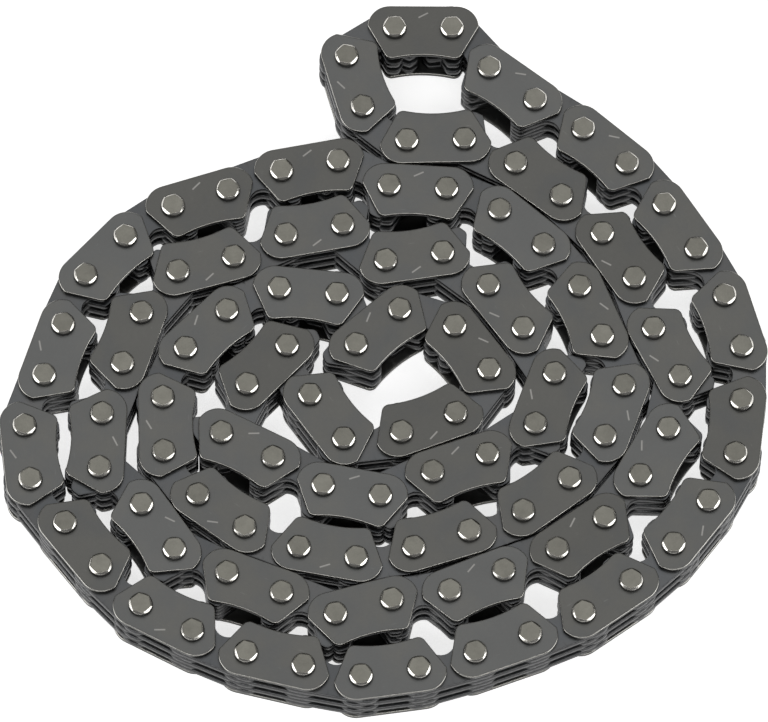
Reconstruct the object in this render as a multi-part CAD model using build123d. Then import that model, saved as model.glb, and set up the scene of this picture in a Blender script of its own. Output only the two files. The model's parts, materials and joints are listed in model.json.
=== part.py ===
from build123d import *
import os
import numpy as np

# A silent timing chain, endless, folded in two and wound into a flat coil.
# Millimetres, +Z up. The coil lies flat, so every pivot pin stands upright. The origin is on
# the surface it rests on, under the middle of its bounding box.
# Guide links and inner links alternate along the chain, one pitch each. A guide link holds
# two pins, two guide plates outside and two toothed link plates between them. An inner link
# is three toothed link plates, which turn on the pins of the guide links beside it.
# Seven layers from top to bottom: guide, inner, link, inner, link, inner, guide.

os.makedirs("parts", exist_ok=True)

# ---- driving dimensions ----
pitch = 6.35              # pin to pin, a quarter of an inch
pin_radius = 1.30
pin_stand = 0.70          # how far a pin's staked end stands out of the guide plate
stake_depth = 0.26        # height of the six facets on a staked end
stake_inset = 0.24        # how far they come in at the end face
stake_margin = 0.05       # how far the hexagon they are cut from stands clear of the round end
guide_thickness = 0.55
link_thickness = 0.87
layer_gap = 0.04          # running clearance between plates
bore_clearance = 0.04     # radial, inner link plates on the pins

# ---- plate outline, measured from the line through both pins ----
back_height = 2.72        # to the flat back
shoulder_radius = 2.45
half_length = 6.15        # middle of the plate to its widest point
side_radius = 0.55        # where shoulder and flank meet
toe_height = 3.78         # to the toe tips
toe_span = 3.93           # middle of the plate to the corner of flank and toe
toe_radius = 0.55         # rounding of a link plate's toes
guide_toe_radius = 0.90   # and of a guide plate's
full_toe_radius = 0.38    # clearances are kept to this fuller corner
guide_hollow = 0.54       # how far a guide plate's toe edge bows in
notch_height = 0.95       # to the root of the notch between a link plate's toes
notch_radius = 1.50
toe_width = 1.20          # of a link plate's toe at its tip

# ---- which links move ----
last_nose_link = 3        # guide links 1 to 3 swing open as the nose of the coil
last_free_link = 11       # guide links 4 to 11 peel off the outer turn

# ---- how the coil is laid ----
# Each guide link's middle (mm) and heading (degrees), clockwise along the outer turn from the
# nose, round the centre fold and back. Teeth are on the right of the heading, back on the left.
laid_links = [
    # nose
    (-4.0, 33.5, 105), (3.0, 41.0, 5), (13.0, 34.0, -35),
    # outer turn
    (23.5, 27.0, -40), (32.0, 17.5, -55), (37.5, 6.5, -70), (39.0, -6.0, -95), (34.0, -17.5, -130),
    (25.0, -26.5, -140), (14.0, -32.5, -160), (1.5, -36.0, -170), (-11.0, -35.0, 170),
    (-23.0, -30.5, 150), (-32.5, -22.0, 130), (-38.5, -11.5, 90), (-36.0, 1.0, 75),
    (-30.5, 12.0, 40), (-20.0, 19.0, 20), (-8.0, 23.5, 15),
    # inner turn, towards the centre
    (3.0, 20.5, 5), (14.5, 16.5, -40), (22.5, 7.0, -60), (25.5, -5.0, -110), (18.0, -15.0, -140),
    (7.0, -20.5, -160), (-5.5, -22.5, 170), (-17.0, -18.0, 145), (-24.0, -8.0, 85),
    (-19.5, 3.5, 45), (-8.5, 8.5, -5),
    # centre fold
    (-0.5, 4.5, 45), (9.5, 2.5, -55), (5.0, -7.0, -155), (-6.0, -6.5, 125), (-13.0, -1.0, -135),
    # inner turn, on the way out
    (-15.0, -10.5, -35), (-3.0, -15.0, -10), (8.5, -11.5, 20), (17.5, -4.0, 70), (13.5, 7.0, 125),
    (3.0, 13.0, -175), (-8.0, 15.5, -165), (-20.0, 11.0, -155), (-28.0, 2.5, -100),
    # middle turn, back to the nose
    (-30.5, -10.0, -90), (-24.5, -20.0, -50), (-13.5, -26.5, -20), (-1.5, -28.5, 10),
    (10.5, -25.0, 20), (22.0, -19.5, 40), (30.0, -10.0, 65), (31.0, 2.0, 110), (25.5, 13.5, 125),
    (16.5, 22.5, 145), (5.0, 26.5, -175),
]
least_gap = 0.10          # aimed at between plates of neighbouring links
push_share = 0.2          # of a short gap, made good in one round
firm_hold = 0.1           # how strongly a link holds on to where it was laid, at first
light_hold = 0.005        # and in the second half of the rounds
settle_rounds = 500
closing_rounds = 4        # last steps towards exact pitches
near_enough = 0.01        # tells two heights on an outline apart

count = len(laid_links)
back_half = half_length - shoulder_radius
shoulder_middle = back_height - shoulder_radius


# ---- settling: true pitches and clear plates ----
def laid_pins():
    """The two pins of every guide link, half a pitch each side of its middle."""
    rows = np.array(laid_links, float)
    heading = np.radians(rows[:, 2])
    along = np.stack([np.cos(heading), np.sin(heading)], 1) * pitch / 2
    return np.stack([rows[:, :2] - along, rows[:, :2] + along], 1).reshape(-1, 2)


def true_pitches(pins):
    """Moves the pins as little as possible until every step between neighbours is one pitch."""
    step = np.roll(pins, -1, 0) - pins
    length = np.linalg.norm(step, axis=1)
    unit = step / length[:, None]
    total = len(pins)
    pull = np.zeros((total, total, 2))
    here = np.arange(total)
    pull[here, here] = -unit
    pull[here, (here + 1) % total] = unit
    pull = pull.reshape(total, -1)
    force = np.linalg.solve(pull @ pull.T, pitch - length)
    return pins + (pull.T @ force).reshape(-1, 2)


def rounded(before, corner, after, radius):
    """Three points that stand for a rounded corner: its two tangent points and its middle."""
    one = np.subtract(before, corner) / np.linalg.norm(np.subtract(before, corner))
    two = np.subtract(after, corner) / np.linalg.norm(np.subtract(after, corner))
    half = np.arccos(one @ two) / 2
    inward = (one + two) / np.linalg.norm(one + two)
    depth = radius / np.sin(half) - radius
    return [corner + one * radius / np.tan(half), corner + inward * depth,
            corner + two * radius / np.tan(half)]


def notch_touch():
    """Where a toe's inner flank meets the round root of the notch."""
    middle = -notch_height - notch_radius
    tip = toe_span - toe_width
    reach = np.hypot(tip, -toe_height - middle)
    angle = np.arctan2(-toe_height - middle, tip) + np.arccos(notch_radius / reach)
    return np.array([notch_radius * np.cos(angle), middle + notch_radius * np.sin(angle)])


def plate_shapes():
    """Convex shapes for clearances: a whole guide plate, and a link plate's body and two toes."""
    turn = np.radians([90, 75, 60, 45, 30, 15])
    shoulder = np.stack([back_half + shoulder_radius * np.cos(turn),
                         shoulder_middle + shoulder_radius * np.sin(turn)], 1)
    widest = np.array([half_length, shoulder_middle])
    corner = np.array([toe_span, -toe_height])
    inner = np.array([toe_span - toe_width, -toe_height])
    root = notch_touch()
    side = rounded(widest + [0, 1], widest, corner, side_radius)
    outer_toe = rounded(widest, corner, inner, full_toe_radius)
    inner_toe = rounded(corner, inner, root, full_toe_radius)
    foot = -notch_height
    foot_span = np.interp(foot, [corner[1], widest[1]], [corner[0], widest[0]])
    root_span = root[0] + (inner[0] - root[0]) * (foot - root[1]) / (inner[1] - root[1])
    right = np.vstack([shoulder, side, outer_toe])
    guide = np.vstack([right, right[::-1] * [-1, 1]])
    right = np.vstack([shoulder, side, [[foot_span, foot]]])
    body = np.vstack([right, right[::-1] * [-1, 1]])
    toe = np.vstack([[[foot_span, foot]], outer_toe, inner_toe, [[root_span, foot]]])
    return [guide], [body, toe, toe * [-1, 1]]


def placed(shape, start, end):
    """A shape's corners on each link: x along the link from its middle, y towards its back."""
    middle = (start + end) / 2
    along = (end - start) / np.linalg.norm(end - start, axis=1)[:, None]
    back = np.stack([-along[:, 1], along[:, 0]], 1)
    return middle[:, None] + shape[None, :, :1] * along[:, None] + shape[None, :, 1:] * back[:, None]


def gaps(first, second):
    """Widest gap between convex shapes, pair by pair, and the direction from first to second."""
    sides = []
    for corners in (first, second):
        edge = np.roll(corners, -1, 1) - corners
        sides.append(np.stack([edge[..., 1], -edge[..., 0]], -1))
    axes = np.concatenate(sides, 1)
    axes = axes / np.linalg.norm(axes, axis=2)[..., None]
    one = np.einsum("nkc,nac->nak", first, axes)
    two = np.einsum("nkc,nac->nak", second, axes)
    ahead = two.min(2) - one.max(2)
    behind = one.min(2) - two.max(2)
    gap = np.maximum(ahead, behind)
    best = gap.argmax(1)
    row = np.arange(len(best))
    sign = np.where(ahead[row, best] >= behind[row, best], 1, -1)
    return gap[row, best], axes[row, best] * sign[:, None]


def link_ends(pins, kind):
    """Start and end pins of the guide links (kind 0) or the inner links (kind 1)."""
    return pins[kind::2], np.roll(pins, -1, 0)[kind::2]


def near_pairs(pins, kind):
    start, end = link_ends(pins, kind)
    middle = (start + end) / 2
    apart = np.linalg.norm(middle[:, None] - middle[None], axis=2)
    return np.argwhere(np.triu(apart < 2 * half_length, 1))


def push_apart(pins, pairs, shapes):
    """Moves links of one kind away from neighbours that they are too close to."""
    moves = np.zeros_like(pins)
    tightest = np.inf
    for kind in (0, 1):
        start, end = link_ends(pins, kind)
        corners = [placed(shape, start, end) for shape in shapes[kind]]
        one, two = pairs[kind].T
        middle = (start + end) / 2
        along = (end - start) / pitch
        for a in corners:
            for b in corners:
                gap, axis = gaps(a[one], b[two])
                tightest = min(tightest, gap.min())
                short = np.clip(least_gap - gap, 0, None)[:, None] * axis * push_share
                tip_a = a[one, np.einsum("nkc,nc->nk", a[one], axis).argmax(1)]
                tip_b = b[two, np.einsum("nkc,nc->nk", b[two], axis).argmin(1)]
                touch = (tip_a + tip_b) / 2
                for link, share in ((one, -short), (two, short)):
                    lean = ((touch - middle[link]) * along[link]).sum(1) / pitch
                    lean = np.clip(lean, -0.5, 0.5)[:, None]
                    first = 2 * link + kind
                    np.add.at(moves, first, share * (1 - 2 * lean))
                    np.add.at(moves, (first + 1) % len(pins), share * (1 + 2 * lean))
    return pins + moves, tightest


def settled_pins():
    """Links give way to each other while they hold on to their places less and less."""
    laid = laid_pins()
    pins = laid.copy()
    shapes = plate_shapes()
    pairs = [near_pairs(laid, 0), near_pairs(laid, 1)]
    for turn in range(settle_rounds):
        firmness = max(0, 1 - 2 * turn / settle_rounds)
        hold = light_hold + (firm_hold - light_hold) * firmness
        pins, tightest = push_apart(pins + hold * (laid - pins), pairs, shapes)
        pins = true_pitches(pins)
    for _ in range(closing_rounds):
        pins = true_pitches(pins)
    print("tightest gap between neighbouring plates", round(tightest, 3))
    return pins


# ---- solids ----
def outline(toe_edge, tip_radius):
    """A plate's face in its own frame: x along the link, y towards the back, toes at -y."""
    foot = -toe_height
    right = (half_length, shoulder_middle)
    left = (-half_length, shoulder_middle)
    turn = shoulder_radius * np.sqrt(0.5)
    high = shoulder_middle + turn
    edges = [
        Line((-back_half, back_height), (back_half, back_height)),
        ThreePointArc((back_half, back_height), (back_half + turn, high), right),
        Line(right, (toe_span, foot)),
        *toe_edge,
        Line((-toe_span, foot), left),
        ThreePointArc(left, (-back_half - turn, high), (-back_half, back_height)),
    ]
    face = make_face(edges)
    sides = [v for v in face.vertices() if abs(v.Y - shoulder_middle) < near_enough]
    face = fillet(sides, side_radius)
    return fillet([v for v in face.vertices() if abs(v.Y - foot) < near_enough], tip_radius)


def guide_face():
    foot = -toe_height
    hollow = ThreePointArc((toe_span, foot), (0, foot + guide_hollow), (-toe_span, foot))
    return outline([hollow], guide_toe_radius)


def link_face():
    """Two toes with a round-rooted notch between them, for a sprocket tooth."""
    foot = -toe_height
    tip = toe_span - toe_width
    touch = tuple(notch_touch())
    return outline([
        Line((toe_span, foot), (tip, foot)),
        Line((tip, foot), touch),
        ThreePointArc(touch, (0, -notch_height), (-touch[0], touch[1])),
        Line((-touch[0], touch[1]), (-tip, foot)),
        Line((-tip, foot), (-toe_span, foot)),
    ], toe_radius)


def plate(face, thickness, bore):
    holes = Pos(pitch / 2, 0) * Circle(bore) + Pos(-pitch / 2, 0) * Circle(bore)
    return extrude(face - holes, thickness)


def staked_end():
    """The end of a pin above the guide plate: a round boss with six facets round its face."""
    boss = extrude(RegularPolygon(pin_radius + stake_margin, 6, major_radius=False), pin_stand)
    rim = boss.edges().group_by(Axis.Z)[-1]
    boss = chamfer(rim, stake_depth, stake_inset + stake_margin)
    return boss & extrude(Circle(pin_radius), pin_stand)


layer_step = link_thickness + layer_gap
bottom_guide_z = pin_stand
link_layer_z = [pin_stand + guide_thickness + layer_gap + k * layer_step for k in range(5)]
top_guide_z = link_layer_z[4] + layer_step
pin_top_z = top_guide_z + guide_thickness


def spans(shape_at, bottoms):
    return [Pos(0, 0, z) * shape_at for z in bottoms]


def pin_pieces():
    """A whole pin in one solid, and the four pieces left of it where the chain is opened."""
    head = Pos(0, 0, pin_top_z) * staked_end()
    foot = mirror(Pos(0, 0, -pin_stand) * staked_end(), Plane.XY)
    shank = Pos(0, 0, pin_stand) * extrude(Circle(pin_radius), pin_top_z - pin_stand)
    in_guide = extrude(Circle(pin_radius), guide_thickness)
    in_link = extrude(Circle(pin_radius), link_thickness)
    cut_short = [head + Pos(0, 0, top_guide_z) * in_guide, foot + Pos(0, 0, bottom_guide_z) * in_guide]
    return head + shank + foot, cut_short + spans(in_link, link_layer_z[1::2])


pins = settled_pins()
guide_plate = plate(guide_face(), guide_thickness, pin_radius)
fixed_link_plate = plate(link_face(), link_thickness, pin_radius)
turning_link_plate = plate(link_face(), link_thickness, pin_radius + bore_clearance)
whole_pin, open_pin = pin_pieces()

# the middle of the coil's bounding box goes over the origin
starts, ends = link_ends(pins, 0)
rim = placed(plate_shapes()[0][0], starts, ends).reshape(-1, 2)
starts, ends = link_ends(pins, 1)
rim = np.vstack([rim, placed(plate_shapes()[0][0], starts, ends).reshape(-1, 2)])
pins = pins - (rim.min(0) + rim.max(0)) / 2


def link_place(kind, index):
    """Where a link lies: its middle, and its heading as a turn about Z. Links count from 1."""
    start, end = (side[index - 1] for side in link_ends(pins, kind))
    middle = (start + end) / 2
    heading = np.degrees(np.arctan2(*(end - start)[::-1]))
    return Location((middle[0], middle[1], 0), (0, 0, heading))


def guide_link(index):
    place = link_place(0, index)
    ends_of_link = [Pos(-pitch / 2, 0), Pos(pitch / 2, 0)]
    opened = [whole_pin], open_pin if index == last_nose_link else [whole_pin]
    return {
        "top_guide_plate": [place * Pos(0, 0, top_guide_z) * guide_plate],
        "bottom_guide_plate": [place * Pos(0, 0, bottom_guide_z) * guide_plate],
        "link_plates": [place * p for p in spans(fixed_link_plate, link_layer_z[1::2])],
        "pins": [place * at * piece for at, pieces in zip(ends_of_link, opened) for piece in pieces],
    }


def inner_link(index):
    place = link_place(1, index)
    return [place * p for p in spans(turning_link_plate, link_layer_z[0::2])]


def add(name, solids):
    nodes.setdefault(name, []).extend(solids)


nodes = {}
for index in range(1, count + 1):
    pieces = guide_link(index)
    if index <= last_free_link:
        link = f"link_{index:02d}"
        add(f"{link}_guide_plates", pieces["top_guide_plate"] + pieces["bottom_guide_plate"])
        add(f"{link}_link_plates", pieces["link_plates"])
        add(f"{link}_pins", pieces["pins"])
    else:
        add("coil_top_guide_plates", pieces["top_guide_plate"])
        add("coil_bottom_guide_plates", pieces["bottom_guide_plate"])
        add("coil_lower_link_plates", pieces["link_plates"][:1])
        add("coil_upper_link_plates", pieces["link_plates"][1:])
        add("coil_pins", pieces["pins"])
    plates = inner_link(index)
    following = index % count + 1
    if index < last_free_link or index == count:
        add(f"inner_{index:02d}_{following:02d}_plates", plates)
    else:
        for height, piece in zip(("lower", "middle", "upper"), plates):
            add(f"coil_{height}_inner_plates", [piece])

for name, solids in nodes.items():
    export_step(Compound(children=solids), f"parts/{name}.step")
print(len(nodes), "nodes")
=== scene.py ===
import json
import math
import bpy
import numpy as np
from mathutils import Matrix, Vector


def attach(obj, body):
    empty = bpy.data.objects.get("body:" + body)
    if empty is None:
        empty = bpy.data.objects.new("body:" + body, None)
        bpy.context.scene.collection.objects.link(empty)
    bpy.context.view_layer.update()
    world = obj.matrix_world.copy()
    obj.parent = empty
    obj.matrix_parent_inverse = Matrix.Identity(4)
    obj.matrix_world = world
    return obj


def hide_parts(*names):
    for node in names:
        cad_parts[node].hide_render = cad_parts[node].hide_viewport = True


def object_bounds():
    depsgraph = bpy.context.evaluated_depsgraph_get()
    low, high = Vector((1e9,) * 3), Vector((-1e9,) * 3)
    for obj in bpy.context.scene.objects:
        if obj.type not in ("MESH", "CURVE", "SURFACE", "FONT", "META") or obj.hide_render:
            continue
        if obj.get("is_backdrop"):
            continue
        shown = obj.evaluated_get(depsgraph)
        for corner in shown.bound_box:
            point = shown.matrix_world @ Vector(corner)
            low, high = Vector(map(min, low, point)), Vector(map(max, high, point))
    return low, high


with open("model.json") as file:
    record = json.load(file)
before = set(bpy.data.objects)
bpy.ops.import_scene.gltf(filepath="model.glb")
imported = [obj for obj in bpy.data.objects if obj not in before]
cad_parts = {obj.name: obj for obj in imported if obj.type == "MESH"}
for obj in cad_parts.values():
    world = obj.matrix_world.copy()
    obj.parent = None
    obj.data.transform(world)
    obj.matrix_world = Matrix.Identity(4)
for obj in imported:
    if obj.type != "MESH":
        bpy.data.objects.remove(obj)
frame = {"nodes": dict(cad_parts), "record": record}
cadLow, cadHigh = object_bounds()
bodyOfNode = {n: body for body, nodes in frame["record"]["behaviour"]["bodies"].items() for n in nodes}
chance = np.random.default_rng(21)


# reading the frame, in millimetres
reading = {"boreClearance": 0.02, "boreTolerance": 0.06, "samePin": 1, "sameHeight": 0.01}


def solidsOf(node):
    # corners of each separate solid: the lowest corner number spreads over shared triangles until it settles
    mesh = frame["nodes"][node].data
    points = np.empty(len(mesh.vertices) * 3, np.float32)
    mesh.vertices.foreach_get("co", points)
    faces = np.empty(len(mesh.loops), np.int32)
    mesh.loops.foreach_get("vertex_index", faces)
    corners, welded = np.unique((points.reshape(-1, 3) * 1000).round(3), axis=0, return_inverse=True)
    faces = welded.reshape(-1)[faces].reshape(-1, 3)
    label = np.arange(len(corners))
    settled = False
    while not settled:
        lowest = label.copy()
        np.minimum.at(lowest, faces, label[faces].min(1, keepdims=True))
        lowest = lowest[lowest]
        settled = bool((lowest == label).all())
        label = lowest
    return [corners[label == value] for value in np.unique(label)]


def pinPlaces(node):
    # rows of x, y, lowest z, highest z: the middle of each round solid's box
    boxes = [(s.min(0), s.max(0)) for s in solidsOf(node)]
    return np.array([[*(low + high)[:2] / 2, low[2], high[2]] for low, high in boxes])


def platePlaces(node):
    # rows of x, y, heading, lowest z, highest z: a plate's bores give its two pins, its longer side its toes
    rows = []
    for corners in solidsOf(node):
        apart = np.linalg.norm(corners[None, :, :2] - pinSpots[:, None], axis=2)
        onBore = (np.abs(apart - boreRadius) < reading["boreTolerance"]).sum(1)
        first, second = pinSpots[np.argsort(onBore)[-2:]]
        middle = (first + second) / 2
        along = (second - first) / np.linalg.norm(second - first)
        back = np.array([-along[1], along[0]])
        across = (corners[:, :2] - middle) @ back
        if across.max() > -across.min():
            along = -along
        rows.append([*middle, math.atan2(along[1], along[0]), corners[:, 2].min(), corners[:, 2].max()])
    return np.array(rows)


pinNodes = sorted(n for n in frame["nodes"] if n.endswith("_pins"))
guideNodes = sorted(n for n in frame["nodes"] if n.endswith("guide_plates"))
toothNodes = sorted(n for n in frame["nodes"] if n not in pinNodes and n not in guideNodes)
pinTable = {n: pinPlaces(n) for n in pinNodes}
everyPin = np.vstack(list(pinTable.values()))
nearest = np.linalg.norm(everyPin[:, None, :2] - everyPin[None, :, :2], axis=2) < reading["samePin"]
pinSpots = everyPin[np.unique(nearest.argmax(1)), :2]
pinLow, pinHigh = everyPin[:, 2].min(), everyPin[:, 3].max()
firstPin = solidsOf(pinNodes[0])[0]
pinRadius = float(np.ptp(firstPin[:, 0]) / 2)
boreRadius = pinRadius + reading["boreClearance"]
guideTable = {n: platePlaces(n) for n in guideNodes}
toothTable = {n: platePlaces(n) for n in toothNodes}
plateCount = sum(map(len, [*guideTable.values(), *toothTable.values()]))
print("found", len(pinSpots), "pins and", plateCount, "plates")


# outlines, from the middle of the back round the right half to the middle of the toe edge
outlineSizes = {
    "pitch": 6.35, "backHeight": 2.72, "shoulderRadius": 2.45, "halfLength": 6.15, "sideRadius": 0.55,
    "toeHeight": 3.78, "toeSpan": 3.93, "toeRadius": 0.55, "guideToeRadius": 0.90, "guideHollow": 0.54,
    "notchHeight": 0.95, "notchRadius": 1.50, "toeWidth": 1.20,
}


def arc(centre, radius, start, end, steps):
    # points at equal turns about a centre, angles in degrees
    turn = np.radians(np.linspace(start, end, steps + 1))
    return np.stack([centre[0] + radius * np.cos(turn), centre[1] + radius * np.sin(turn)], 1)


def roundedCorner(before, corner, after, radius, steps):
    # the arc that touches both straight sides of a corner, worked out from the angle between them
    corner = np.array(corner, float)
    one = (before - corner) / np.linalg.norm(before - corner)
    two = (after - corner) / np.linalg.norm(after - corner)
    half = math.acos(float(one @ two)) / 2
    centre = corner + (one + two) / np.linalg.norm(one + two) * radius / math.sin(half)
    start = corner + one * radius / math.tan(half) - centre
    end = corner + two * radius / math.tan(half) - centre
    sweep = math.atan2(start[0] * end[1] - start[1] * end[0], float(start @ end))
    first = math.degrees(math.atan2(start[1], start[0]))
    return arc(centre, radius, first, first + math.degrees(sweep), steps)


def evenly(start, end, steps):
    # points along a straight run, both ends left out
    share = np.linspace(0, 1, steps + 1)[1:-1, None]
    return np.array(start) * (1 - share) + np.array(end) * share


def bodyOutline(size, fine):
    # back edge, shoulder arc, side rounding and flank, down to the rounding of the toe
    shoulder = np.array([size["halfLength"], size["backHeight"]]) - size["shoulderRadius"]
    widest = np.array([size["halfLength"], shoulder[1]])
    toe = np.array([size["toeSpan"], -size["toeHeight"]])
    side = roundedCorner(widest + [0, 1], widest, toe, size["sideRadius"], fine)
    turned = arc(shoulder, size["shoulderRadius"], 90, 0, 3 * fine)[:-1]
    back = [[0, size["backHeight"]], *evenly([0, size["backHeight"]], turned[0], 3)]
    return [back, turned, side], side[-1], toe


def guideOutline(size, fine):
    # the toe edge of a guide plate is one shallow arc that bows in
    parts, flankTop, toe = bodyOutline(size, fine)
    hollow = size["guideHollow"]
    radius = (size["toeSpan"] ** 2 + hollow ** 2) / (2 * hollow)
    centre = (0, -size["toeHeight"] + hollow - radius)
    reach = 90 - math.degrees(math.asin(size["toeSpan"] / radius))
    edge = arc(centre, radius, reach, 90, 8)
    corner = roundedCorner(flankTop, toe, edge[1], size["guideToeRadius"], 2 * fine)
    parts += [evenly(flankTop, corner[0], 4), corner, edge[edge[:, 0] < corner[-1, 0] - 0.1]]
    return np.vstack(parts)


def toothOutline(size, fine):
    # a toe with a rounded tip, its inner flank tangent to the round root of the notch
    parts, flankTop, toe = bodyOutline(size, fine)
    tip = np.array([size["toeSpan"] - size["toeWidth"], -size["toeHeight"]])
    middle = -size["notchHeight"] - size["notchRadius"]
    reach = math.hypot(tip[0], tip[1] - middle)
    touch = math.degrees(math.atan2(tip[1] - middle, tip[0]) + math.acos(size["notchRadius"] / reach))
    root = arc((0, middle), size["notchRadius"], touch, 90, 2 * fine)
    outer = roundedCorner(flankTop, toe, tip, size["toeRadius"], fine)
    inner = roundedCorner(toe, tip, root[0], size["toeRadius"], fine)
    parts += [evenly(flankTop, outer[0], 3), outer, inner, evenly(inner[-1], root[0], 3), root]
    return np.vstack(parts)


# a plate is two mirrored halves: rings carried from the bore out over the face, round the edge and back below
plateBuild = {"edgeRadius": 0.13, "edgeSteps": 3, "boreBreak": 0.04, "seamSteps": 6}


def plateMesh(half, thickness, bore, build):
    # points, quads and edge wear: rows run bore, face, rounded edge, wall and lower edge,
    # and the seam columns close the face between the two halves
    pinX = outlineSizes["pitch"] / 2
    whole = np.vstack([half, half[-2:0:-1] * [-1, 1]])
    travel = np.roll(whole, -1, 0) - np.roll(whole, 1, 0)
    outward = np.stack([-travel[:, 1], travel[:, 0]], 1)[:len(half)]
    outward = outward / np.linalg.norm(outward, axis=1)[:, None]
    radius, steps = build["edgeRadius"], build["edgeSteps"]
    seamY = np.linspace(half[-1, 1] + radius, half[0, 1] - radius, build["seamSteps"] + 1)[1:-1]
    seam = np.stack([np.zeros_like(seamY), seamY], 1)
    ring = np.vstack([half, seam])
    inward = np.vstack([-outward, np.zeros_like(seam)])
    spoke = ring - [pinX, 0]
    spoke = spoke / np.linalg.norm(spoke, axis=1)[:, None]

    def circle(r):
        return spoke * r + [pinX, 0]

    cut = build["boreBreak"]
    inset = ring + inward * radius
    rim = circle(bore + cut)
    rows = [(circle(bore), 0, 0), (circle(bore), thickness - cut, 0), (rim, thickness, 0)]
    rows += [(rim * 0.5 + inset * 0.5, thickness, 0), (rim * 0.1 + inset * 0.9, thickness, 0)]
    turn = np.linspace(0, math.pi / 2, steps + 1)
    rounding = [(radius * (1 - math.sin(a)), radius * (1 - math.cos(a)), math.sin(2 * a)) for a in turn]
    rows += [(ring + inward * i, thickness - d, w) for i, d, w in rounding]
    faceRows = 5
    rows += [(ring + inward * i, d, w) for i, d, w in rounding[::-1]]
    columns, levels, outer = len(ring), len(rows), len(half)
    flat = np.stack([row[0] for row in rows])
    height = np.repeat(np.array([row[1] for row in rows], float)[:, None], columns, 1)
    wear = np.repeat(np.array([row[2] for row in rows], float)[:, None], columns, 1)
    height[faceRows:faceRows + steps + 1, outer:] = thickness
    height[faceRows + steps + 1:, outer:] = 0
    wear[:, outer:] = 0
    points = np.concatenate([flat, height[:, :, None]], 2).reshape(-1, 3)
    row, column = np.meshgrid(np.arange(levels), np.arange(columns), indexing="ij")
    nextRow, nextColumn = (row + 1) % levels, (column + 1) % columns
    quads = np.stack([row * columns + column, row * columns + nextColumn,
                      nextRow * columns + nextColumn, nextRow * columns + column], 2)
    onSeam = (column >= outer - 1)
    onWall = (row >= faceRows) & (row < levels - 1)
    quads = quads[~(onSeam & onWall)]
    mirrored = points * [-1, 1, 1]
    both = np.vstack([points, mirrored])
    faces = np.vstack([quads, quads[:, ::-1] + len(points)])
    joined, welded = np.unique(both.round(5), axis=0, return_inverse=True)
    bothWear = np.zeros(len(joined))
    bothWear[welded.reshape(-1)] = np.tile(wear.reshape(-1), 2)
    return joined, welded.reshape(-1)[faces], bothWear


# a pin end is staked: six facets come down from its face to the round shank
pinBuild = {
    "facetInset": 0.28, "facetSlope": 0.98, "faceBreak": 0.05, "wallBreak": 0.02, "columns": 48,
    "cornerGap": 0.03, "softSpread": 0.05, "softCut": 0.045, "softest": 0.35, "turnSpread": 0.08,
}


def pinEnd(radius, staked, softness, build):
    # rows of radius and depth below the end face, by angle: the apothem over the cosine of the
    # angle from the middle of the nearest facet
    angle = np.linspace(0, 2 * math.pi, build["columns"], endpoint=False)
    lean = np.cos((angle % (math.pi / 3)) - math.pi / 6)
    if not staked:
        ones = np.ones_like(angle)
        edge = radius - build["wallBreak"]
        rows = [(0 * ones, 0 * ones, 0), (edge * ones, 0 * ones, 0)]
        return angle, rows + [(radius * ones, build["wallBreak"] * ones, 0)]
    soft = softness * build["softCut"]
    apothem = radius - build["facetInset"]
    sharp = np.minimum(apothem / lean, radius - build["cornerGap"])
    reach = (1 - softness) * sharp + softness * (apothem + build["softSpread"])
    slope = build["facetSlope"]
    drop = (radius - reach) * slope
    edge = build["faceBreak"]
    rows = [(0 * reach, 0 * reach, 0), (reach * 0.55, 0 * reach, 0), (reach - edge * 1.5, 0 * reach, 0)]
    rows += [(reach - edge * 0.7, 0 * reach, 0), (reach - edge * 0.05, edge * 0.3 * slope + 0 * reach, 0.2)]
    rows += [(reach + edge * 0.8, edge * 0.9 * slope + 0 * reach, 0.7)]
    rows += [(radius - build["wallBreak"] - soft + 0 * reach, drop - (build["wallBreak"] + soft) * slope, 1)]
    rows += [(radius + 0 * reach, drop + build["wallBreak"], 0.3)]
    rows += [(radius + 0 * reach, drop + 3 * build["wallBreak"], 0)]
    return angle, rows


def pinMesh(low, high, softness, build):
    # two ends carried round the pin's axis and joined by its shank; each end face closes in one point
    angle, top = pinEnd(pinRadius, high > pinHigh - reading["sameHeight"], softness, build)
    _, foot = pinEnd(pinRadius, low < pinLow + reading["sameHeight"], softness, build)
    rows = [(r, high - d, w) for r, d, w in top] + [(r, low + d, w) for r, d, w in foot[::-1]]
    reach = np.stack([r for r, _, _ in rows])
    points = np.stack([reach * np.cos(angle), reach * np.sin(angle), np.stack([z for _, z, _ in rows])], 2)
    wear = np.repeat(np.array([w for _, _, w in rows], float)[:, None], len(angle), 1)
    levels, columns = reach.shape
    row, column = np.meshgrid(np.arange(levels - 1), np.arange(columns), indexing="ij")
    beside = (column + 1) % columns
    quads = np.stack([row * columns + column, (row + 1) * columns + column,
                      (row + 1) * columns + beside, row * columns + beside], 2).reshape(-1, 4)
    joined, welded = np.unique(points.reshape(-1, 3).round(5), axis=0, return_inverse=True)
    joinedWear = np.zeros(len(joined))
    joinedWear[welded.reshape(-1)] = wear.reshape(-1)
    return joined, welded.reshape(-1)[quads], joinedWear


# putting pieces together: a tone of one slides the pattern by toneShift mm
toneShift = 40
sharpAngle = 38


def placed(points, x, y, heading, z):
    turned = np.empty_like(points)
    turned[:, 0] = x + points[:, 0] * math.cos(heading) - points[:, 1] * math.sin(heading)
    turned[:, 1] = y + points[:, 0] * math.sin(heading) + points[:, 1] * math.cos(heading)
    turned[:, 2] = z + points[:, 2]
    return turned


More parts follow.
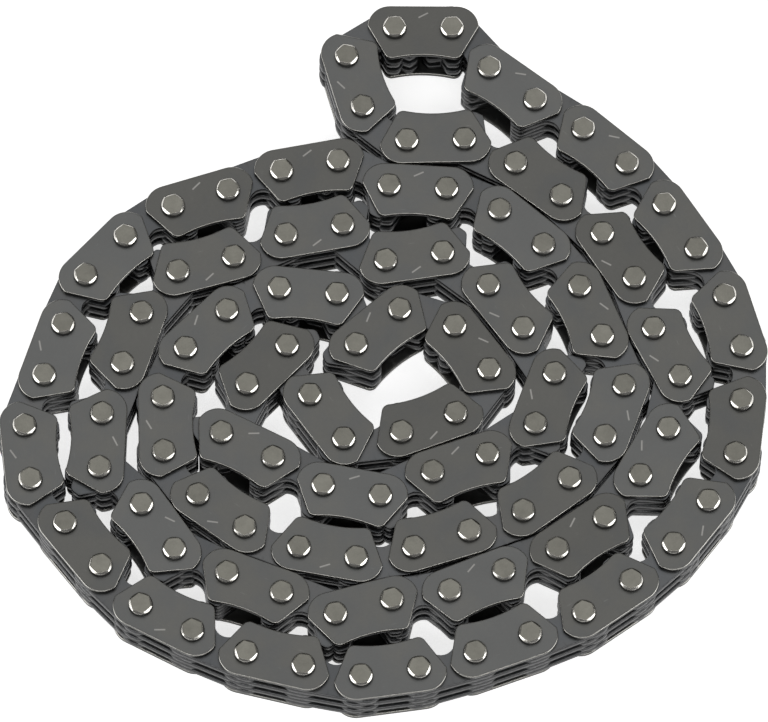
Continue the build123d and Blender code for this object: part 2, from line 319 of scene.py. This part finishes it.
def buildPiece(node, parts, material):
    # parts are (mesh, place, tone, mark): all solids of one node in one mesh, with point attributes
    points, faces, numbers, spots = [], [], {"wear": [], "tone": [], "mark": []}, []
    count = 0
    for (local, quads, wear), place, tone, mark in parts:
        points.append(placed(local, *place))
        faces += [tuple(dict.fromkeys(q)) for q in (quads + count).tolist()]
        spots.append(local + [toneShift * tone, 0, 0])
        numbers["wear"].append(wear)
        numbers["tone"].append(np.full(len(local), tone))
        numbers["mark"].append(np.full(len(local), mark))
        count += len(local)
    mesh = bpy.data.meshes.new(node + "_finished")
    mesh.from_pydata((np.vstack(points) / 1000).tolist(), [], faces)
    mesh.polygons.foreach_set("use_smooth", np.ones(len(mesh.polygons), bool))
    mesh.set_sharp_from_angle(angle=math.radians(sharpAngle))
    for name, values in numbers.items():
        layer = mesh.attributes.new(name, "FLOAT", "POINT")
        layer.data.foreach_set("value", np.concatenate(values).astype(np.float32))
    layer = mesh.attributes.new("spot", "FLOAT_VECTOR", "POINT")
    layer.data.foreach_set("vector", np.vstack(spots).astype(np.float32).ravel())
    mesh.materials.append(material)
    piece = bpy.data.objects.new(node + "_finished", mesh)
    bpy.context.scene.collection.objects.link(piece)
    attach(piece, bodyOfNode[node])
    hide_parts(node)
    return piece


# shader maths
class Field:
    # a value over a surface; arithmetic on it adds Math nodes
    def __init__(self, surface, socket):
        self.surface = surface
        self.socket = socket

    def maths(self, operation, *values):
        return self.surface.node("Math", {"operation": operation}, dict(enumerate(values)))

    def __add__(self, other):
        return self.maths("ADD", self, other)

    def __sub__(self, other):
        return self.maths("SUBTRACT", self, other)

    def __rsub__(self, other):
        return self.maths("SUBTRACT", other, self)

    def __mul__(self, other):
        return self.maths("MULTIPLY", self, other)

    def __abs__(self):
        return self.maths("ABSOLUTE", self)

    __radd__ = __add__


class Surface:
    # one material's nodes, each made from its type, its settings and the values of its sockets
    def __init__(self, name):
        self.material = bpy.data.materials.new(name)
        self.material.use_nodes = True
        self.tree = self.material.node_tree
        self.tree.nodes.clear()

    def node(self, kind, settings=None, values=None, output=0):
        made = self.tree.nodes.new("ShaderNode" + kind)
        for key, value in (settings or {}).items():
            setattr(made, key, value)
        for key, value in (values or {}).items():
            if isinstance(value, Field):
                self.tree.links.new(value.socket, made.inputs[key])
            else:
                made.inputs[key].default_value = value
        return Field(self, made.outputs[output]) if len(made.outputs) else None

    def attribute(self, name, output=2):
        return self.node("Attribute", {"attribute_name": name}, output=output)

    def axis(self, vector, index):
        return self.node("SeparateXYZ", {}, {0: vector}, index)

    def stretched(self, vector, scale, turn=0.0):
        return self.node("Mapping", {}, {"Vector": vector, "Scale": scale, "Rotation": (0, 0, turn)})

    def level(self, low, high):
        # 1 where a surface lies flat, 0 on a wall, from how far its normal points along Z; the plates use it
        # to paint shade on their walls
        return self.ramp(abs(self.axis(self.node("NewGeometry", output=1), 2)), low, high)

    def noise(self, vector, scale, detail=2.0, roughness=0.5):
        sockets = {"Vector": vector, "Scale": scale, "Detail": detail, "Roughness": roughness}
        return self.node("TexNoise", {}, sockets)

    def ramp(self, value, low, high, bottom=0.0, top=1.0):
        sockets = {"Value": value, "From Min": low, "From Max": high, "To Min": bottom, "To Max": top}
        return self.node("MapRange", {"interpolation_type": "SMOOTHSTEP"}, sockets)

    def mix(self, factor, first, second):
        return self.node("Mix", {"data_type": "RGBA"}, {0: factor, 6: first, 7: second}, output=2)

    def shade(self, colour, share):
        # a colour times a number
        grey = self.node("CombineXYZ", {}, {0: share, 1: share, 2: share})
        return self.node("VectorMath", {"operation": "MULTIPLY"}, {0: colour, 1: grey})

    def relief(self, height, steel):
        sockets = {"Height": height, "Strength": steel["bump"], "Distance": steel["bumpDepth"]}
        return self.node("Bump", {}, sockets)

    def finish(self, fixed, **linked):
        shader = self.node("BsdfPrincipled", {}, {**fixed, **linked})
        self.node("OutputMaterial", {}, {"Surface": shader})
        return self.material


# wall is painted shade: the share of the colour kept on upright walls
guideSteel = {
    "warm": (0.150, 0.149, 0.140, 1), "cool": (0.144, 0.146, 0.143, 1), "worn": (0.46, 0.45, 0.42, 1),
    "wall": 0.30, "roughness": 0.40, "toneSpread": 0.11, "cloudSpread": 0.12, "grain": 0.10,
    "bump": 0.30, "bumpDepth": 0.00002,
}


def guideMaterial(steel):
    # satin tempered steel: drifting tint, rolling grain along the plate, fine scuffs, edges worn bright, and
    # painted shade on its upright walls
    s = Surface("guidePlateSteel")
    spot = s.attribute("spot", 1)
    wear = s.attribute("wear")
    tone = s.attribute("tone")
    cloud = s.noise(spot, 0.22, 3, 0.55)
    mottle = s.noise(spot, 1.6, 4, 0.65)
    grain = s.noise(s.stretched(spot, (0.8, 9, 9), 0.2), 1.6, 3, 0.6)
    speck = s.noise(spot, 14, 2, 0.6)
    scuffLines = s.noise(s.stretched(spot, (0.35, 7, 1), 0.7), 1.3, 2, 0.4)
    scuff = s.ramp(scuffLines, 0.70, 0.78) * s.ramp(mottle, 0.45, 0.6)
    tint = s.ramp(cloud + tone * 0.3 - 0.15, 0.38, 0.66)
    base = s.mix(tint, steel["warm"], steel["cool"])
    share = 1 + (tone - 0.5) * (2 * steel["toneSpread"]) + (mottle - 0.5) * (2 * steel["cloudSpread"])
    share = share + (grain - 0.5) * steel["grain"] + (speck - 0.5) * 0.12 + scuff * 0.35
    # painted shade: upright walls keep only the wall share of the face colour, so they read as shadowed
    base = s.shade(base, share * (s.level(0.25, 0.7) * (1 - steel["wall"]) + steel["wall"]))
    rub = s.ramp(wear * (0.55 + mottle * 0.9), 0.35, 0.85)
    colour = s.mix(rub, base, steel["worn"])
    rough = steel["roughness"] + (mottle - 0.5) * 0.16 + (cloud - 0.5) * 0.10 - rub * 0.12 - scuff * 0.08
    mark = stampedBar(s, spot, s.attribute("mark"), tone)
    colour = s.mix(mark * stampBar["strength"], colour, stampBar["colour"])
    height = (grain - 0.5) * 0.25 + (speck - 0.5) * 0.35 + (mottle - 0.5) * 0.5 - mark * 1.6
    bump = s.relief(height, steel)
    return s.finish({"Metallic": 1.0}, **{"Base Color": colour, "Roughness": rough, "Normal": bump})


stampBar = {
    "length": 1.3, "width": 0.13, "fromBack": 1.15, "slant": 0.5,
    "colour": (0.42, 0.41, 0.39, 1), "strength": 0.8, "share": 0.5,
}


def stampedBar(s, spot, mark, tone):
    # one short slanted bar struck near the back edge: near its own line and within its length
    x = s.axis(spot, 0) - tone * toneShift
    y = s.axis(spot, 1) - (outlineSizes["backHeight"] - stampBar["fromBack"])
    along = x * math.cos(stampBar["slant"]) + y * math.sin(stampBar["slant"])
    across = y * math.cos(stampBar["slant"]) - x * math.sin(stampBar["slant"])
    near = 1 - s.ramp(abs(across), stampBar["width"] * 0.3, stampBar["width"])
    within = 1 - s.ramp(abs(along), stampBar["length"] * 0.42, stampBar["length"] * 0.5)
    return near * within * mark


# wall is painted shade: the share of the colour kept on upright walls
toothSteel = {
    "warm": (0.128, 0.129, 0.129, 1), "cool": (0.119, 0.124, 0.129, 1), "worn": (0.20, 0.20, 0.205, 1),
    "wall": 0.13, "roughness": 0.36, "toneSpread": 0.10, "cloudSpread": 0.12,
    "bump": 0.30, "bumpDepth": 0.00002,
}


def toothMaterial(steel):
    # blued steel, smoother than the guides, with fine blanking lines down its walls and bright toes, and
    # painted shade darkening those walls
    s = Surface("toothPlateSteel")
    spot = s.attribute("spot", 1)
    wear = s.attribute("wear")
    tone = s.attribute("tone")
    cloud = s.noise(spot, 0.3, 3, 0.5)
    mottle = s.noise(spot, 2.2, 4, 0.6)
    lines = s.noise(s.stretched(spot, (6, 6, 0.35)), 1.5, 2, 0.5)
    speck = s.noise(spot, 16, 2, 0.6)
    base = s.mix(s.ramp(cloud, 0.35, 0.65), steel["warm"], steel["cool"])
    share = 1 + (tone - 0.5) * (2 * steel["toneSpread"]) + (mottle - 0.5) * (2 * steel["cloudSpread"])
    share = share + (lines - 0.5) * 0.2 + (speck - 0.5) * 0.10
    # painted shade: upright walls keep only the wall share of the face colour, so they read as shadowed
    base = s.shade(base, share * (s.level(0.25, 0.7) * (1 - steel["wall"]) + steel["wall"]))
    rub = s.ramp(wear * (0.5 + mottle * 0.9), 0.35, 0.9)
    colour = s.mix(rub, base, steel["worn"])
    rough = steel["roughness"] + (mottle - 0.5) * 0.18 + (lines - 0.5) * 0.12 - rub * 0.10
    height = (lines - 0.5) * 0.4 + (speck - 0.5) * 0.3 + (mottle - 0.5) * 0.5
    bump = s.relief(height, steel)
    return s.finish({"Metallic": 1.0}, **{"Base Color": colour, "Roughness": rough, "Normal": bump})


pinSteel = {
    "face": (0.265, 0.258, 0.225, 1), "facet": (0.74, 0.72, 0.67, 1), "shank": (0.16, 0.16, 0.155, 1),
    "faceRoughness": 0.46, "facetRoughness": 0.20, "bump": 0.45, "bumpDepth": 0.00004,
}


def pinMaterial(steel):
    # matte sheared end face with a fine pebble, bright struck facets, a darker shank picked out by how
    # upright the surface is
    s = Surface("pinSteel")
    spot = s.attribute("spot", 1)
    wear = s.attribute("wear")
    tone = s.attribute("tone")
    pebble = s.noise(spot, 4.5, 4, 0.7)
    cloud = s.noise(spot, 0.9, 3, 0.5)
    face = s.level(0.30, 0.60)
    ring = s.mix(face, steel["shank"], steel["face"])
    share = 1 + (tone - 0.5) * 0.2 + (pebble - 0.5) * 0.45 + (cloud - 0.5) * 0.4
    base = s.shade(ring, share)
    struck = s.ramp(wear, 0.25, 0.85)
    colour = s.mix(struck, base, steel["facet"])
    rough = steel["faceRoughness"] + (pebble - 0.5) * 0.2
    rough = rough * (1 - struck) + struck * steel["facetRoughness"]
    height = (pebble - 0.5) * (1 - struck * 0.8)
    bump = s.relief(height, steel)
    return s.finish({"Metallic": 1.0}, **{"Base Color": colour, "Roughness": rough, "Normal": bump})


guideFinish = guideMaterial(guideSteel)
toothFinish = toothMaterial(toothSteel)
pinFinish = pinMaterial(pinSteel)
print("materials made")


# guide plates
guideHalf = guideOutline(outlineSizes, 4)
headings = []
for node, rows in guideTable.items():
    parts = []
    for x, y, heading, low, high in rows:
        mesh = plateMesh(guideHalf, high - low, pinRadius, plateBuild)
        tone = chance.random()
        marked = float(chance.random() < stampBar["share"])
        parts.append((mesh, (x, y, heading, low), tone, marked))
        headings.append((x, y, heading))
    buildPiece(node, parts, guideFinish)
headings = np.array(headings)
print("guide plates built")


# link plates with teeth
toothBuild = {**plateBuild, "edgeRadius": 0.07, "edgeSteps": 2, "seamSteps": 4}
toothHalf = toothOutline(outlineSizes, 2)
for node, rows in toothTable.items():
    parts = []
    for x, y, heading, low, high in rows:
        mesh = plateMesh(toothHalf, high - low, boreRadius, toothBuild)
        parts.append((mesh, (x, y, heading, low), chance.random(), 0.0))
    buildPiece(node, parts, toothFinish)
print("link plates built")


# pins, each turned with the guide plate that holds it
ends = np.vstack([headings[:, :2] + side * outlineSizes["pitch"] / 2
                  * np.stack([np.cos(headings[:, 2]), np.sin(headings[:, 2])], 1) for side in (-1, 1)])
turnAt = np.tile(headings[:, 2], 2)
for node, rows in pinTable.items():
    parts = []
    for x, y, low, high in rows:
        turn = turnAt[np.linalg.norm(ends - [x, y], axis=1).argmin()]
        turn = turn + chance.normal(0, pinBuild["turnSpread"])
        mesh = pinMesh(low, high, chance.uniform(0.0, pinBuild["softest"]), pinBuild)
        parts.append((mesh, (x, y, turn, 0), chance.random(), 0.0))
    buildPiece(node, parts, pinFinish)
print("pins built")


# floor, lights and camera
cameraPlace = {
    "elevation": 67.19, "roll": 1.576, "distance": 1.152, "lens": 493.7, "aim": (-0.000065, -0.002045),
    "sensor": 36, "clip": (0.05, 20),
}
studio = {
    "world": (1.0, 1.0, 1.0, 1), "worldStrength": 0.12, "floor": (0.95, 0.95, 0.95, 1), "floorGlow": 0.75,
    "floorRoughness": 0.9, "floorRadii": (0.3, 3.0), "floorSides": 96,
}
softboxes = [
    # name, azimuth from the viewer's side, elevation, distance, width, height, brightness
    ("overhead", 180, 67, 1.0, 1.3, 0.95, 0.84),
    ("front", 0, 56, 1.0, 1.0, 0.25, 3.0),
    ("left", -72, 16, 0.9, 0.8, 0.40, 3.2),
    ("right", 72, 16, 0.9, 0.8, 0.40, 3.2),
]


def addFloor():
    # a round disc as rings of quads from the middle outwards, level with the lowest point of the chain
    sides = studio["floorSides"]
    turn = np.linspace(0, 2 * math.pi, sides, endpoint=False)
    points = [(r * math.cos(a), r * math.sin(a), cadLow[2]) for r in studio["floorRadii"] for a in turn]
    faces = [tuple(range(sides))]
    faces += [(i, sides + i, sides + (i + 1) % sides, (i + 1) % sides) for i in range(sides)]
    mesh = bpy.data.meshes.new("floor")
    mesh.from_pydata(points, [], faces)
    s = Surface("floorPaper")
    paper = {"Base Color": studio["floor"], "Roughness": studio["floorRoughness"]}
    glow = {"Emission Strength": studio["floorGlow"], "Emission Color": studio["floor"]}
    mesh.materials.append(s.finish({**paper, **glow}))
    floor = bpy.data.objects.new("floor", mesh)
    bpy.context.scene.collection.objects.link(floor)
    floor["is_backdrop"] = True


def addSoftbox(name, azimuth, elevation, distance, width, height, brightness):
    # an area light of even brightness, aimed at the chain
    a, e = math.radians(azimuth), math.radians(elevation)
    away = Vector((math.sin(a) * math.cos(e), -math.cos(a) * math.cos(e), math.sin(e)))
    lamp = bpy.data.lights.new(name, "AREA")
    lamp.shape = "RECTANGLE"
    lamp.size, lamp.size_y = width, height
    lamp.energy = brightness * math.pi * width * height
    light = bpy.data.objects.new(name, lamp)
    light.location = away * distance
    light.rotation_mode = "QUATERNION"
    light.rotation_quaternion = away.to_track_quat("Z", "Y")
    bpy.context.scene.collection.objects.link(light)


def addCamera(place):
    tilt = math.radians(place["elevation"])
    forward = Vector((0, math.cos(tilt), -math.sin(tilt)))
    up = Vector((0, math.sin(tilt), math.cos(tilt)))
    lens = bpy.data.cameras.new("camera")
    lens.lens, lens.sensor_width = place["lens"], place["sensor"]
    lens.clip_start, lens.clip_end = place["clip"]
    camera = bpy.data.objects.new("camera", lens)
    roll = Matrix.Rotation(math.radians(place["roll"]), 3, "Z")
    turned = Matrix((Vector((1, 0, 0)), up, -forward)).transposed() @ roll
    aim = Vector((*place["aim"], cadHigh[2]))
    camera.matrix_world = Matrix.Translation(aim - forward * place["distance"]) @ turned.to_4x4()
    bpy.context.scene.collection.objects.link(camera)
    bpy.context.scene.camera = camera


world = bpy.data.worlds.new("studio")
world.use_nodes = True
world.node_tree.nodes["Background"].inputs["Color"].default_value = studio["world"]
world.node_tree.nodes["Background"].inputs["Strength"].default_value = studio["worldStrength"]
bpy.context.scene.world = world
bpy.context.scene.view_settings.view_transform = "Standard"
addFloor()
for box in softboxes:
    addSoftbox(*box)
addCamera(cameraPlace)
print("studio set")

bpy.context.view_layer.update()
low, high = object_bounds()
